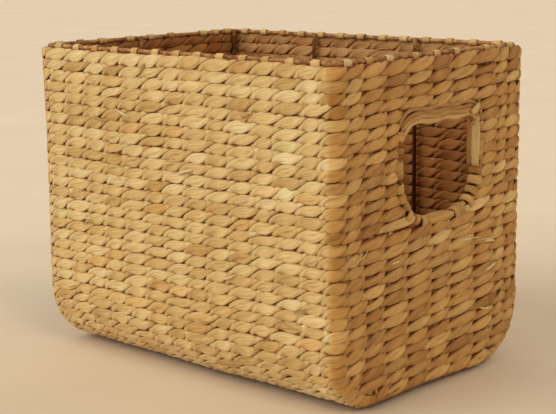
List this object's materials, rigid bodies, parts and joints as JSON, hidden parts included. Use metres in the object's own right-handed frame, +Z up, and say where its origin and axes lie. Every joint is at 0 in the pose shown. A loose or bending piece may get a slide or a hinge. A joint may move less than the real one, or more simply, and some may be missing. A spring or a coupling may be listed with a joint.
{
  "type": "woven laundry basket",
  "caption": "Open-topped rectangular basket of twined straw over a bent wire frame, with a curved trough-shaped bottom and a rounded hand hole through each end wall.",
  "frame": {"origin": "middle of the flat underside, at floor level", "axes": "+X along the length through the hand holes, +Y along the width, +Z up"},
  "size_m": [0.3816, 0.272, 0.3],
  "materials": {
    "straw": "dried leaf strip, twisted in pairs, matt with a slight sheen",
    "stake_straw": "flat dried stems, matt",
    "brown_wire": "dark brown paint, satin"
  },
  "bodies": {
    "root": {"frame_hand_ring_a": "brown_wire", "frame_hand_ring_b": "brown_wire", "frame_hanger_a": "brown_wire", "frame_hanger_b": "brown_wire", "frame_hoop_end_a": "brown_wire", "frame_hoop_end_b": "brown_wire", "frame_hoop_mid_a": "brown_wire", "frame_hoop_mid_b": "brown_wire", "frame_rim_wire": "brown_wire", "hand_binding_a": "straw", "hand_binding_b": "straw", "stake_end_a_01": "stake_straw", "stake_end_a_02": "stake_straw", "stake_end_a_03": "stake_straw", "stake_end_a_04": "stake_straw", "stake_end_a_05": "stake_straw", "stake_end_a_06": "stake_straw", "stake_end_b_01": "stake_straw", "stake_end_b_02": "stake_straw", "stake_end_b_03": "stake_straw", "stake_end_b_04": "stake_straw", "stake_end_b_05": "stake_straw", "stake_end_b_06": "stake_straw", "stake_hole_a_lower_1": "stake_straw", "stake_hole_a_lower_2": "stake_straw", "stake_hole_a_lower_3": "stake_straw", "stake_hole_a_upper_1": "stake_straw", "stake_hole_a_upper_2": "stake_straw", "stake_hole_a_upper_3": "stake_straw", "stake_hole_b_lower_1": "stake_straw", "stake_hole_b_lower_2": "stake_straw", "stake_hole_b_lower_3": "stake_straw", "stake_hole_b_upper_1": "stake_straw", "stake_hole_b_upper_2": "stake_straw", "stake_hole_b_upper_3": "stake_straw", "stake_long_01": "stake_straw", "stake_long_02": "stake_straw", "stake_long_03": "stake_straw", "stake_long_04": "stake_straw", "stake_long_05": "stake_straw", "stake_long_06": "stake_straw", "stake_long_07": "stake_straw", "stake_long_08": "stake_straw", "stake_long_09": "stake_straw", "stake_long_10": "stake_straw", "stake_long_11": "stake_straw", "stake_long_12": "stake_straw", "stake_long_13": "stake_straw", "weave_floor_inner": "straw", "weave_floor_outer": "straw", "weave_walls_inner": "straw", "weave_walls_outer": "straw"}
  },
  "joints": []
}
